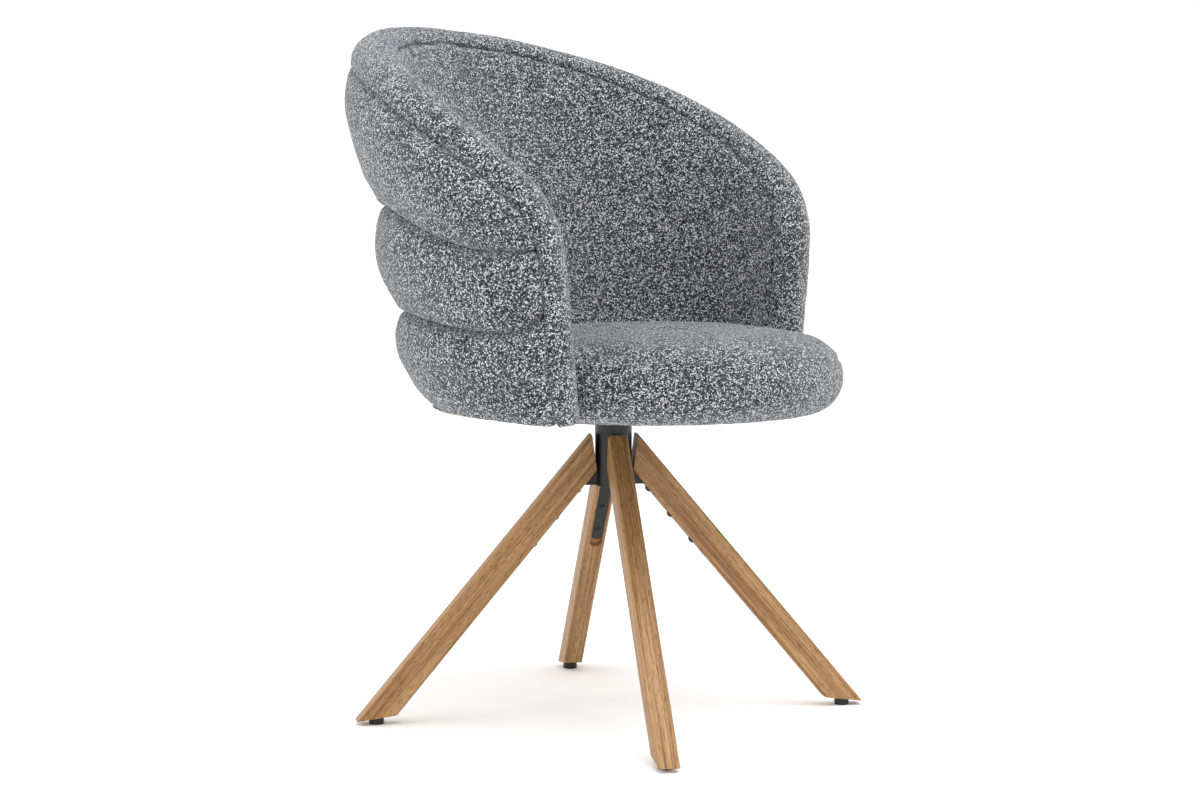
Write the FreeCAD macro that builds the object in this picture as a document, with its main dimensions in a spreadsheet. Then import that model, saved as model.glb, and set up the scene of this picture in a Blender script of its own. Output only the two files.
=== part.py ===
"""Swivel tub chair: an upholstered tub and a round seat on a steel hub with four oak legs.

Frame: millimetres, +Z up, floor at z = 0. The chair faces -Y, so the sitter's right is at -X.
The origin is on the floor, in the middle of the chair's outline. The swivel axis stands a
little towards the front or the back of it, where the reach of the tub and of the seat puts it.
"""
import FreeCAD
import Part
import Sketcher

import math
import os
from types import SimpleNamespace

from FreeCAD import Placement, Rotation, Vector

os.makedirs("parts", exist_ok=True)
doc = FreeCAD.newDocument("swivel_tub_chair")

# Driving sizes
# Lengths are in millimetres and angles in degrees. Levels are heights above the floor,
# and forward distances are counted from the swivel axis towards the front of the chair.
SIZES = {
    # base
    "glide_circle_radius": 290.0,
    "glide_radius": 9.0,
    "glide_bevel": 1.0,
    "glide_pin_radius": 2.5,
    "glide_pin_length": 16.0,
    "foot_level": 8.3,
    "leg_head_level": 322.4,
    "leg_depth": 33.0,
    "leg_width": 25.0,
    "leg_edge_radius": 4.0,
    "leg_end_tilt": 7.5,
    "column_radius": 22.3,
    "column_wall": 4.0,
    "column_base_level": 283.0,
    "column_top_level": 362.0,
    "cap_flange": 2.0,
    "cap_plug_length": 6.0,
    "arm_width": 14.0,
    "arm_thickness": 5.0,
    "arm_length": 132.0,
    "groove_side_gap": 0.4,
    "groove_run_out": 13.0,
    "screw_head_radius": 5.0,
    "screw_head_height": 3.0,
    "screw_shank_radius": 2.2,
    "screw_shank_length": 22.0,
    "screw_first_place": 32.0,
    "screw_pitch": 42.0,
    # swivel
    "spindle_radius": 12.5,
    "running_clearance": 0.05,
    "bush_length": 20.0,
    "bush_flange_thickness": 3.0,
    "bush_flange_radius": 22.0,
    "lower_bush_level": 300.0,
    "thrust_washer_thickness": 2.0,
    "spindle_flange_radius": 26.0,
    "spindle_washer_thickness": 1.5,
    "spindle_washer_radius": 16.5,
    "ring_thickness": 1.5,
    "ring_depth": 1.2,
    "ring_radius": 15.0,
    "axial_play": 0.2,
    "spindle_tail": 4.0,
    # seat
    "seat_plate_side": 136.0,
    "seat_plate_thickness": 4.0,
    "seat_plate_corner_radius": 15.0,
    "seat_underside_level": 376.0,
    "bolt_spacing": 104.0,
    "bolt_radius": 3.0,
    "bolt_head_radius": 5.5,
    "bolt_head_height": 3.3,
    "tee_nut_flange_radius": 9.0,
    "tee_nut_flange_thickness": 1.5,
    "tee_nut_barrel_radius": 4.0,
    "seat_board_thickness": 15.0,
    "seat_board_inset": 44.0,
    "seat_front_reach": 282.0,
    "seat_rear_radius": 320.0,
    "seat_corner_share": 0.75,
    "seat_seam_level": 437.0,
    "seat_crown_level": 474.5,
    "seat_crown_dome": 10.0,
    "seat_seam_inset": 2.3,
    "seat_underside_inset": 40.0,
    "seat_widest_share": 0.66,
    "seat_side_gap": 3.5,
    "seat_rear_gap": 2.0,
    "dust_cover_thickness": 0.8,
    # tub
    "tub_base_level": 380.0,
    "tub_reference_level": 820.0,
    "tub_centre_forward": 15.5,
    "tub_depth_low": 182.0,
    "tub_depth_high": 290.0,
    "tub_half_width_low": 271.0,
    "tub_half_width_high": 315.0,
    "arm_front_forward": 88.4,
    "rim_back_level": 814.5,
    "rim_sweep_radius": 800.0,
    "rim_corner_radius": 103.0,
    "rim_half_run": 538.0,
    "band_radius": 25.0,
    "band_back_fullness": 6.0,
    "frame_thickness": 8.0,
    "lining_fullness": 8.0,
    "base_ring_side_width": 100.0,
    "base_ring_rear_width": 90.0,
    "base_ring_thickness": 6.0,
    "fixing_screw_radius": 2.0,
    "fixing_screw_length": 13.0,
    "fixing_screw_head_radius": 4.2,
    "upper_seam_level": 624.0,
    "upper_seam_dip": 50.0,
    "upper_seam_lift": 3.0,
    "lower_seam_level": 502.0,
    "lower_seam_dip": 17.5,
    "lower_seam_lift": 22.0,
    "seam_dip_start": 0.45,
    "seam_dip_end": 0.9,
    "top_roll_bulge": 18.0,
    "middle_roll_bulge": 14.0,
    "bottom_roll_bulge": 13.0,
    "top_roll_widest_share": 0.76,
    "roll_widest_share": 0.58,
    "tuck_height": 48.0,
    "seam_gap": 0.3,
    "soft_clearance": 0.3,
}

UPPER_ROLL_LAST_TURN = 77.0
SLOPE_PASSES = 20
CROWN_FULLNESS = 0.4
TUCK_ACROSS = 0.66
TUCK_UP = 0.36
ROLL_QUARTER = 0.75
BACK_STEPS = 12
CORNER_STEPS = (0.12, 0.28, 0.46, 0.64, 0.82, 1.0)
ARM_FRONT_STEPS = 8
WALL_STEPS = 16
WALL_END = 1.03
FIXING_SCREW_TURNS = (-80.0, -45.0, -15.0, 15.0, 45.0, 80.0)
LEG_TURNS = {"front_right": 225.0, "front_left": 315.0, "rear_left": 45.0, "rear_right": 135.0}
ARM_SCREW_COUNT = 3
Z_AXIS = Vector(0, 0, 1)
Y_AXIS = Vector(0, 1, 0)


def leg_line():
    """Slope of a leg's middle line, and how far from the axis it ends against the column."""
    slope = math.radians(45.0)
    tilt = math.radians(SIZES["leg_end_tilt"])
    rise = SIZES["leg_head_level"] - SIZES["foot_level"]
    for _ in range(SLOPE_PASSES):
        half_cut = SIZES["leg_depth"] / 2 / math.cos(slope - tilt)
        reach = SIZES["column_radius"] + SIZES["soft_clearance"] + half_cut * math.sin(tilt)
        slope = math.atan(rise / (SIZES["glide_circle_radius"] - reach))
    return math.degrees(slope), reach


def make_sheet():
    """Put every driving size into the sheet, one alias each, and the leg's line after them."""
    values = dict(SIZES)
    values["leg_slope"], values["leg_top_reach"] = leg_line()
    sheet = doc.addObject("Spreadsheet::Sheet", "Sizes")
    for row, (name, value) in enumerate(values.items(), start=1):
        sheet.set(f"A{row}", name)
        sheet.set(f"B{row}", str(value))
        sheet.setAlias(f"B{row}", name)
    doc.recompute()
    return sheet, SimpleNamespace(**{name: float(getattr(sheet, name)) for name in values})


sheet, size = make_sheet()


# Plan of the tub
# The middle of the tub's wall is an ellipse at every level. It grows with height, so the wall
# leans out. A place on it is a share from -1 (sitter's right arm front) over 0 (middle of the
# back) to 1 (left arm front), at a level.

def tub_half_sizes(level):
    """Half depth and half width of the wall's middle ellipse at a level."""
    share = (level - size.tub_base_level) / (size.tub_reference_level - size.tub_base_level)
    depth = size.tub_depth_low + share * (size.tub_depth_high - size.tub_depth_low)
    width = size.tub_half_width_low + share * (size.tub_half_width_high - size.tub_half_width_low)
    return depth, width


def tub_turn(share, level):
    """Angle round the ellipse, from the middle of the back, of a share of the wall."""
    depth, _ = tub_half_sizes(level)
    return share * math.acos((size.tub_centre_forward - size.arm_front_forward) / depth)


def tub_point(share, level):
    """A place in the middle of the wall."""
    depth, width = tub_half_sizes(level)
    turn = tub_turn(share, level)
    forward = size.tub_centre_forward - depth * math.cos(turn)
    return Vector(width * math.sin(turn), -forward, level)


def rim_corner():
    """Turn where the long arc of the rim meets the arm's corner arc, and the corner's level."""
    sweep = size.rim_sweep_radius
    corner = size.rim_corner_radius
    meet = math.asin((size.rim_half_run - corner) / (sweep - corner))
    level = size.rim_back_level - sweep + (sweep - corner) * math.cos(meet)
    return meet, level


def rim_place(turn, inset):
    """Share and level on the rim line, or on the parallel line an inset inside it."""
    meet, corner_level = rim_corner()
    side = -1.0 if turn < 0 else 1.0
    turn = abs(turn)
    if turn <= meet:
        run = (size.rim_sweep_radius - inset) * math.sin(turn)
        level = size.rim_back_level - size.rim_sweep_radius
        level += (size.rim_sweep_radius - inset) * math.cos(turn)
    else:
        run = size.rim_half_run - size.rim_corner_radius
        run += (size.rim_corner_radius - inset) * math.sin(turn)
        level = corner_level + (size.rim_corner_radius - inset) * math.cos(turn)
    return side * run / size.rim_half_run, level


def rim_level(share):
    """Level of the rim above a share of the wall, and of the corner's foot beyond the arm front."""
    meet, corner_level = rim_corner()
    run = abs(share) * size.rim_half_run
    sweep = size.rim_sweep_radius
    corner = size.rim_corner_radius
    if run <= sweep * math.sin(meet):
        return size.rim_back_level - sweep + math.sqrt(sweep ** 2 - run ** 2)
    past = min(run - (size.rim_half_run - corner), corner)
    return corner_level + math.sqrt(corner ** 2 - past ** 2)


def wall_shares():
    """Evenly spaced shares that run a little past both arm fronts."""
    return [WALL_END * step / WALL_STEPS for step in range(-WALL_STEPS, WALL_STEPS + 1)]


def rim_turns(last_turn=math.pi / 2):
    """Turns along the whole rim, closer together round the arm corners."""
    meet, _ = rim_corner()
    half = [meet * (step + 1) / BACK_STEPS for step in range(BACK_STEPS)]
    half += [meet + (last_turn - meet) * share for share in CORNER_STEPS]
    return [-turn for turn in reversed(half)] + [0.0] + half


class Meridian:
    """Upright section plane of the wall: a foot, a rising direction and an outward direction."""

    def __init__(self, share, top_level):
        self.foot = tub_point(share, size.tub_base_level)
        head = tub_point(share, top_level)
        self.rise = (head - self.foot).normalize()
        self.top_level = top_level
        level = (size.tub_base_level + top_level) / 2
        step = 1e-4
        along = tub_point(share + step, level) - tub_point(share - step, level)
        outward = along.cross(self.rise)
        self.outward = outward.normalize()
        if self.outward.dot(Vector(self.foot.x, self.foot.y + size.tub_centre_forward, 0)) < 0:
            self.outward = self.outward * -1

    def at(self, offset, level):
        """The point an offset outside the wall's middle, square to it from the level given."""
        along = (level - self.foot.z) / self.rise.z
        return self.foot + self.rise * along + self.outward * offset

    def on_level(self, offset, level):
        """The point an offset outside the wall's middle that is itself at the level given."""
        return self.at(offset, level - self.outward.z * offset)


def closed_loft(wires):
    """A smooth solid through closed wires that have the same edges."""
    solid = Part.makeLoft(wires, True, False)
    if solid.Volume < 0:
        solid.reverse()
    return solid


def polygon(points):
    return Part.makePolygon(list(points) + [points[0]])


def arc(start, middle, end):
    return Part.Arc(start, middle, end).toShape()


def line(start, end):
    return Part.LineSegment(start, end).toShape()


# Document helpers

def origin_plane(body, role):
    return [plane for plane in body.Origin.OriginFeatures if plane.Role == role][0]


def new_body(name):
    body = doc.addObject("PartDesign::Body", name)
    body.Label = name
    return body


def outline_sketch(body, name, role, corners):
    """A closed straight-sided sketch whose corners are pairs of sheet expressions."""
    sketch = body.newObject("Sketcher::SketchObject", name)
    sketch.AttachmentSupport = [(origin_plane(body, role), "")]
    sketch.MapMode = "FlatFace"
    points = [Vector(float(body.evalExpression(across)), float(body.evalExpression(up)), 0)
              for across, up in corners]
    count = len(points)
    for index in range(count):
        sketch.addGeometry(Part.LineSegment(points[index], points[(index + 1) % count]), False)
    for index in range(count):
        sketch.addConstraint(Sketcher.Constraint("Coincident", index, 2, (index + 1) % count, 1))
    for index, (across, up) in enumerate(corners):
        for kind, expression, value in (("DistanceX", across, points[index].x),
                                        ("DistanceY", up, points[index].y)):
            place = sketch.addConstraint(Sketcher.Constraint(kind, -1, 1, index, 1, value))
            sketch.setExpression(f"Constraints[{place}]", expression)
    return sketch


def turned(name, corners):
    """A body turned about Z from a half outline of (radius, level) expressions."""
    body = new_body(name)
    sketch = outline_sketch(body, f"{name}_outline", "XZ_Plane", corners)
    revolution = body.newObject("PartDesign::Revolution", f"{name}_turning")
    revolution.Profile = sketch
    revolution.ReferenceAxis = (sketch, ["V_Axis"])
    revolution.Angle = 360.0
    return body


def shape_node(name, shape):
    """A node whose shape is set from the sheet's values by the functions of this file."""
    node = doc.addObject("Part::Feature", name)
    node.Label = name
    node.Shape = shape
    return node


def cylinder(radius, low, high, across=0.0, along=0.0):
    return Part.makeCylinder(radius, high - low, Vector(across, along, low), Z_AXIS)


# Hub and swivel

COLUMN_BORE = "(Sizes.column_radius - Sizes.column_wall)"
BUSH_BORE = "(Sizes.spindle_radius + Sizes.running_clearance)"
WASHER_LEVEL = "(Sizes.column_top_level + Sizes.bush_flange_thickness)"
FLANGE_LEVEL = f"({WASHER_LEVEL} + Sizes.thrust_washer_thickness)"
PLATE_LEVEL = "(Sizes.seat_underside_level - Sizes.seat_plate_thickness)"
KEEPER_LEVEL = "(Sizes.lower_bush_level - Sizes.axial_play)"
RING_TOP = f"({KEEPER_LEVEL} - Sizes.spindle_washer_thickness)"
RING_BASE = f"({RING_TOP} - Sizes.ring_thickness)"
GROOVE_RADIUS = "(Sizes.spindle_radius - Sizes.ring_depth)"


def make_hub():
    """Column, its end cap and the two bushes."""
    column = turned("hub_column", [
        (COLUMN_BORE, "Sizes.column_base_level"),
        ("Sizes.column_radius", "Sizes.column_base_level"),
        ("Sizes.column_radius", "Sizes.column_top_level"),
        (COLUMN_BORE, "Sizes.column_top_level")])
    cap = turned("column_end_cap", [
        ("0", "Sizes.column_base_level - Sizes.cap_flange"),
        ("Sizes.column_radius - Sizes.cap_flange / 2", "Sizes.column_base_level - Sizes.cap_flange"),
        ("Sizes.column_radius", "Sizes.column_base_level - Sizes.cap_flange / 2"),
        ("Sizes.column_radius", "Sizes.column_base_level"),
        (COLUMN_BORE, "Sizes.column_base_level"),
        (COLUMN_BORE, "Sizes.column_base_level + Sizes.cap_plug_length"),
        ("0", "Sizes.column_base_level + Sizes.cap_plug_length")])
    lower = turned("lower_bush", [
        (BUSH_BORE, "Sizes.lower_bush_level"),
        (COLUMN_BORE, "Sizes.lower_bush_level"),
        (COLUMN_BORE, "Sizes.lower_bush_level + Sizes.bush_length"),
        (BUSH_BORE, "Sizes.lower_bush_level + Sizes.bush_length")])
    upper = turned("upper_bush", [
        (BUSH_BORE, "Sizes.column_top_level - Sizes.bush_length"),
        (COLUMN_BORE, "Sizes.column_top_level - Sizes.bush_length"),
        (COLUMN_BORE, "Sizes.column_top_level"),
        ("Sizes.bush_flange_radius", "Sizes.column_top_level"),
        ("Sizes.bush_flange_radius", WASHER_LEVEL),
        (BUSH_BORE, WASHER_LEVEL)])
    return [column, cap, lower, upper]


def make_swivel():
    """Spindle and what runs on it or keeps it in the hub."""
    tail_level = f"{RING_BASE} - Sizes.spindle_tail"
    spindle = turned("spindle", [
        ("0", tail_level),
        ("Sizes.spindle_radius", tail_level),
        ("Sizes.spindle_radius", RING_BASE),
        (GROOVE_RADIUS, RING_BASE),
        (GROOVE_RADIUS, RING_TOP),
        ("Sizes.spindle_radius", RING_TOP),
        ("Sizes.spindle_radius", FLANGE_LEVEL),
        ("Sizes.spindle_flange_radius", FLANGE_LEVEL),
        ("Sizes.spindle_flange_radius", PLATE_LEVEL),
        ("0", PLATE_LEVEL)])
    thrust = turned("thrust_washer", [
        ("Sizes.spindle_radius", WASHER_LEVEL),
        ("Sizes.bush_flange_radius", WASHER_LEVEL),
        ("Sizes.bush_flange_radius", FLANGE_LEVEL),
        ("Sizes.spindle_radius", FLANGE_LEVEL)])
    washer = turned("spindle_washer", [
        ("Sizes.spindle_radius", RING_TOP),
        ("Sizes.spindle_washer_radius", RING_TOP),
        ("Sizes.spindle_washer_radius", KEEPER_LEVEL),
        ("Sizes.spindle_radius", KEEPER_LEVEL)])
    ring = turned("retaining_ring", [
        (GROOVE_RADIUS, RING_BASE),
        ("Sizes.ring_radius", RING_BASE),
        ("Sizes.ring_radius", RING_TOP),
        (GROOVE_RADIUS, RING_TOP)])
    return [spindle, thrust, washer, ring]


# Legs
# A leg lies in an upright plane through the axis: X is the distance from the axis.

LEG_ANGLE = "(Sizes.leg_slope * 1 deg)"
CUT_ANGLE = "((Sizes.leg_slope - Sizes.leg_end_tilt) * 1 deg)"


def leg_frame():
    """Middle of the foot, direction up the leg and direction square to it, in its plane."""
    slope = math.radians(size.leg_slope)
    foot = Vector(size.glide_circle_radius, 0, size.foot_level)
    up_leg = Vector(-math.cos(slope), 0, math.sin(slope))
    square = Vector(math.sin(slope), 0, math.cos(slope))
    return foot, up_leg, square


def underside_place(reach_along):
    """Point on the leg's underside, a distance down the leg from the column's surface."""
    foot, up_leg, square = leg_frame()
    start = foot - square * (size.leg_depth / 2)
    climb = (size.glide_circle_radius - square.x * size.leg_depth / 2 - size.column_radius)
    start_up = climb / math.cos(math.radians(size.leg_slope))
    return start + up_leg * (start_up - reach_along)


def leg_corner(side, end):
    """Sheet expressions of a corner of the leg seen from the side.

    Side is +1 for the upper edge and -1 for the underside; end is foot or head.
    """
    if end == "foot":
        along = f"({-side} * Sizes.leg_depth / 2 / tan({CUT_ANGLE}))"
    else:
        full = f"((Sizes.glide_circle_radius - Sizes.leg_top_reach) / cos({LEG_ANGLE}))"
        along = f"({full} + {side} * Sizes.leg_depth / 2 * tan({CUT_ANGLE}))"
    across = (f"Sizes.glide_circle_radius + {side} * Sizes.leg_depth / 2 * sin({LEG_ANGLE})"
              f" - {along} * cos({LEG_ANGLE})")
    up = (f"Sizes.foot_level + {side} * Sizes.leg_depth / 2 * cos({LEG_ANGLE})"
          f" + {along} * sin({LEG_ANGLE})")
    return across, up


def screw_places():
    """Places of the screws along the arm, from the column's surface."""
    return [size.screw_first_place + index * size.screw_pitch for index in range(ARM_SCREW_COUNT)]


def inward_rotation():
    """Turns +Z into the direction from the leg's underside into the wood."""
    _, _, square = leg_frame()
    return Rotation(Z_AXIS, square)


def along_edges(shape, direction):
    """Names of the straight edges that run along a direction."""
    names = []
    for number, edge in enumerate(shape.Edges, start=1):
        if edge.Curve.TypeId != "Part::GeomLine":
            continue
        if abs(edge.Curve.Direction.dot(direction)) > 0.999:
            names.append(f"Edge{number}")
    return names


def make_leg(label):
    """An oak leg: slanted ends, eased edges, groove for the arm, holes for screws and glide."""
    name = f"leg_{label}"
    body = new_body(name)
    sketch = outline_sketch(body, f"{name}_side", "XZ_Plane", [
        leg_corner(-1, "foot"), leg_corner(1, "foot"), leg_corner(1, "head"), leg_corner(-1, "head")])
    pad = body.newObject("PartDesign::Pad", f"{name}_pad")
    pad.Profile = sketch
    pad.SideType = "Symmetric"
    pad.setExpression("Length", "Sizes.leg_width")
    doc.recompute()
    _, up_leg, square = leg_frame()
    easing = body.newObject("PartDesign::Fillet", f"{name}_easing")
    easing.Base = (pad, along_edges(pad.Shape, up_leg))
    easing.setExpression("Radius", "Sizes.leg_edge_radius")

    groove_half = size.arm_width / 2 + size.groove_side_gap
    slope_turn = Rotation(Y_AXIS, size.leg_slope)
    groove_end = size.arm_length + size.groove_run_out - groove_half
    groove_start = size.leg_depth + size.column_radius / 2
    groove = body.newObject("PartDesign::SubtractiveBox", f"{name}_groove")
    groove.setExpression("Length", f"{groove_end + groove_start:.6f}")
    groove.setExpression("Width", "Sizes.arm_width + 2 * Sizes.groove_side_gap")
    groove.setExpression("Height", "Sizes.arm_thickness")
    groove.Placement = Placement(underside_place(-groove_start) - Y_AXIS * groove_half, slope_turn)
    tip = body.newObject("PartDesign::SubtractiveCylinder", f"{name}_groove_end")
    tip.setExpression("Radius", "Sizes.arm_width / 2 + Sizes.groove_side_gap")
    tip.setExpression("Height", "Sizes.arm_thickness")
    tip.Placement = Placement(underside_place(groove_end), slope_turn)
    for number, place in enumerate(screw_places(), start=1):
        hole = body.newObject("PartDesign::SubtractiveCylinder", f"{name}_screw_hole_{number}")
        hole.setExpression("Radius", "Sizes.screw_shank_radius")
        hole.setExpression("Height", "Sizes.screw_shank_length")
        hole.Placement = Placement(underside_place(place), inward_rotation())
    pin_hole = body.newObject("PartDesign::SubtractiveCylinder", f"{name}_pin_hole")
    pin_hole.setExpression("Radius", "Sizes.glide_pin_radius")
    pin_hole.setExpression("Height", "Sizes.foot_level + Sizes.glide_pin_length")
    pin_hole.Placement = Placement(Vector(size.glide_circle_radius, 0, 0), Rotation())
    return body


def make_leg_arm(label):
    """Flat steel arm under a leg with the gusset at its root, cut to the column's surface."""
    name = f"leg_arm_{label}"
    _, up_leg, square = leg_frame()
    half = size.arm_width / 2
    root = underside_place(-size.column_radius / 2)
    end = underside_place(size.arm_length - half)
    rise = square * size.arm_thickness
    bar_side = polygon([root, end, end + rise, root + rise])
    bar = Part.Face(bar_side).extrude(Y_AXIS * size.arm_width)
    bar.translate(Y_AXIS * -half)
    nose = Part.makeCylinder(half, size.arm_thickness, end, square)
    foot = size.column_base_level
    gusset_reach = (underside_place(0).z - foot) / math.tan(math.radians(size.leg_slope))
    gusset_side = polygon([
        Vector(size.column_radius / 2, 0, foot),
        Vector(size.column_radius + gusset_reach, 0, foot),
        underside_place(0),
        root])
    gusset = Part.Face(gusset_side).extrude(Y_AXIS * size.arm_width)
    gusset.translate(Y_AXIS * -half)
    column = cylinder(size.column_radius, 0, size.seat_crown_level)
    arm = bar.fuse([nose, gusset]).removeSplitter().cut(column)
    for place in screw_places():
        hole = Part.makeCylinder(size.screw_shank_radius, size.arm_thickness,
                                 underside_place(place), square)
        arm = arm.cut(hole)
    return shape_node(name, arm)


def make_arm_screws(label):
    """Three domed screws that hold a leg to its arm."""
    _, _, square = leg_frame()
    head_radius = size.screw_head_radius
    head_height = size.screw_head_height
    ball = (head_radius ** 2 + head_height ** 2) / (2 * head_height)
    screws = []
    for place in screw_places():
        seat = underside_place(place)
        dome = Part.makeSphere(ball, seat - square * (head_height - ball))
        slab = Part.makeCylinder(2 * head_radius, 2 * ball, seat - square * 2 * ball, square)
        shank = Part.makeCylinder(size.screw_shank_radius, size.screw_shank_length, seat, square)
        screws.append(dome.common(slab).fuse(shank).removeSplitter())
    return shape_node(f"arm_screws_{label}", Part.makeCompound(screws))


def make_glide(label):
    """Glide with a flat underside, a top cut to the leg's foot and a pin up into the leg."""
    name = f"glide_{label}"
    centre = Vector(size.glide_circle_radius, 0, 0)
    foot = Vector(size.glide_circle_radius, 0, size.foot_level)
    pad_height = size.foot_level + size.glide_radius
    bevel = size.glide_bevel
    rim = Part.makeCone(size.glide_radius - bevel, size.glide_radius, bevel, centre, Z_AXIS)
    body = Part.makeCylinder(size.glide_radius, pad_height - bevel, centre + Z_AXIS * bevel, Z_AXIS)
    pad = rim.fuse(body).removeSplitter()
    tilt = math.radians(size.leg_end_tilt)
    normal = Vector(math.sin(tilt), 0, math.cos(tilt))
    above = Part.makeCylinder(4 * size.glide_radius, 4 * size.glide_radius, foot, normal)
    pin = Part.makeCylinder(size.glide_pin_radius, size.foot_level / 2 + size.glide_pin_length,
                            centre + Z_AXIS * size.foot_level / 2, Z_AXIS)
    return shape_node(name, pad.cut(above).fuse(pin).removeSplitter())


def make_base():
    nodes = make_hub()
    fixed = Placement(AXIS, Rotation())
    for node in nodes:
        node.Placement = fixed
    for label, turn in LEG_TURNS.items():
        for maker in (make_leg, make_leg_arm, make_arm_screws, make_glide):
            node = maker(label)
            node.Placement = Placement(AXIS, Rotation(Z_AXIS, turn))
            nodes.append(node)
    return nodes


# Seat

def seat_half_width():
    """Half width that leaves the side gap inside the padded arm fronts."""
    widest = tub_point(1.0, size.seat_seam_level).x
    return widest - size.band_radius - size.seat_side_gap


def seat_rear_reach(level):
    """How far behind the axis the seat ends at a level, against the tub's leaning lining."""
    return tub_point(0.0, level).y - lining_depth(0.0, level) - size.seat_rear_gap


def seat_centre():
    """Forward distance of the middle of the seat's front arc."""
    return size.seat_front_reach - seat_half_width()


def seat_outline(level, inset=0.0, share=1.0):
    """Wire of the seat's plan, an inset inside its widest line, then drawn in by a share.

    It is half a circle in front and a flatter arc behind, with an arc round each rear corner.
    """
    front_y = -seat_centre()
    half = seat_half_width() - inset
    rear = seat_rear_reach(max(level, size.seat_underside_level)) - inset
    corner = (rear - front_y) * size.seat_corner_share
    back = size.seat_rear_radius - inset
    across = half - corner
    back_centre = rear - back
    corner_along = back_centre + math.sqrt((back - corner) ** 2 - across ** 2)
    toward = Vector(across, corner_along - back_centre, 0).normalize()

    def place(x, y):
        return Vector(x * share, front_y + (y - front_y) * share, level)

    left_join = place(toward.x * back, back_centre + toward.y * back)
    right_join = place(-toward.x * back, back_centre + toward.y * back)
    diagonal = math.atan2(toward.y, toward.x) / 2
    bend_x = across + corner * math.cos(diagonal)
    bend_y = corner_along + corner * math.sin(diagonal)
    slant = half * math.sqrt(0.5)
    return Part.Wire([
        arc(right_join, place(0, rear), left_join),
        arc(left_join, place(bend_x, bend_y), place(half, corner_along)),
        line(place(half, corner_along), place(half, front_y)),
        arc(place(half, front_y), place(slant, front_y - slant), place(0, front_y - half)),
        arc(place(0, front_y - half), place(-slant, front_y - slant), place(-half, front_y)),
        line(place(-half, front_y), place(-half, corner_along)),
        arc(place(-half, corner_along), place(-bend_x, bend_y), right_join)])


def seat_slab(inset, low, high):
    return Part.Face(seat_outline(low, inset)).extrude(Z_AXIS * (high - low))


def board_top():
    return size.seat_underside_level + size.seat_board_thickness


def ring_base():
    """Level of the base ring's underside: it lies in a rebate, flush with the board's top."""
    return board_top() - size.base_ring_thickness


def ring_outlines(level, clearance):
    """Outer and inner oval of the tub's base ring, each widened by a clearance."""
    depth, width = tub_half_sizes(ring_base())
    centre = Vector(0, -size.tub_centre_forward, level)
    outer = size.frame_thickness / 2
    across = width + outer - size.base_ring_side_width - clearance
    along = depth + outer - size.base_ring_rear_width - clearance
    outside = Part.Ellipse(centre, width + outer + clearance, depth + outer + clearance)
    return Part.Wire(outside.toShape()), Part.Wire(Part.Ellipse(centre, across, along).toShape())


def ring_slab(low, high, clearance):
    """The tub's base ring as a flat horseshoe, widened by a clearance."""
    outside, inside = ring_outlines(low, clearance)
    rise = Z_AXIS * (high - low)
    reach = size.tub_reference_level
    front = size.arm_front_forward - size.band_radius / 2 + clearance
    mouth = Part.makeBox(2 * reach, reach, high - low, Vector(-reach, -front - reach, low))
    return Part.Face(outside).extrude(rise).cut(Part.Face(inside).extrude(rise)).cut(mouth)


def bolt_points():
    half = size.bolt_spacing / 2
    return [(across, along) for across in (-half, half) for along in (-half, half)]


def fixing_points():
    """Places of the screws through the ring: midway between its inner oval and the board's edge."""
    board_edge = seat_outline(0, size.seat_board_inset)
    _, ring_edge = ring_outlines(0, 0)
    points = []
    for turn in FIXING_SCREW_TURNS:
        angle = math.radians(turn)
        ray = line(Vector(0, 0, 0), Vector(math.sin(angle), math.cos(angle), 0) * size.seat_front_reach)
        on_board = ray.distToShape(board_edge)[1][0][0]
        on_ring = ray.distToShape(ring_edge)[1][0][0]
        points.append((on_board + on_ring) / 2)
    return points


def make_seat_plate():
    name = "seat_plate"
    body = new_body(name)
    half = "Sizes.seat_plate_side / 2"
    sketch = outline_sketch(body, f"{name}_outline", "XY_Plane", [
        (f"-{half}", f"-{half}"), (half, f"-{half}"), (half, half), (f"-{half}", half)])
    pad = body.newObject("PartDesign::Pad", f"{name}_pad")
    pad.Profile = sketch
    pad.setExpression("Length", "Sizes.seat_plate_thickness")
    doc.recompute()
    corners = body.newObject("PartDesign::Fillet", f"{name}_corners")
    corners.Base = (pad, along_edges(pad.Shape, Z_AXIS))
    corners.setExpression("Radius", "Sizes.seat_plate_corner_radius")
    for number, (across, along) in enumerate(bolt_points(), start=1):
        hole = body.newObject("PartDesign::SubtractiveCylinder", f"{name}_hole_{number}")
        hole.setExpression("Radius", "Sizes.bolt_radius")
        hole.setExpression("Height", "Sizes.seat_plate_thickness")
        hole.Placement = Placement(Vector(across, along, 0), Rotation())
    level = size.seat_underside_level - size.seat_plate_thickness
    body.Placement = Placement(AXIS + Z_AXIS * level, Rotation())
    return body


def make_seat_fasteners():
    """Bolts through the plate and the tee nuts that they go into."""
    plate_base = size.seat_underside_level - size.seat_plate_thickness
    top = board_top()
    flange_base = top - size.tee_nut_flange_thickness
    barrel_base = size.seat_underside_level + size.tee_nut_flange_thickness
    bolts = []
    nuts = []
    for across, along in bolt_points():
        head = cylinder(size.bolt_head_radius, plate_base - size.bolt_head_height, plate_base,
                        across, along)
        shank = cylinder(size.bolt_radius, plate_base, flange_base, across, along)
        bolts.append(head.fuse(shank).removeSplitter())
        flange = cylinder(size.tee_nut_flange_radius, flange_base, top, across, along)
        barrel = cylinder(size.tee_nut_barrel_radius, barrel_base, flange_base, across, along)
        bore = cylinder(size.bolt_radius, barrel_base, top, across, along)
        nuts.append(flange.fuse(barrel).removeSplitter().cut(bore))
    return [shape_node("plate_bolts", Part.makeCompound(bolts)),
            shape_node("tee_nuts", Part.makeCompound(nuts))]


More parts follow.
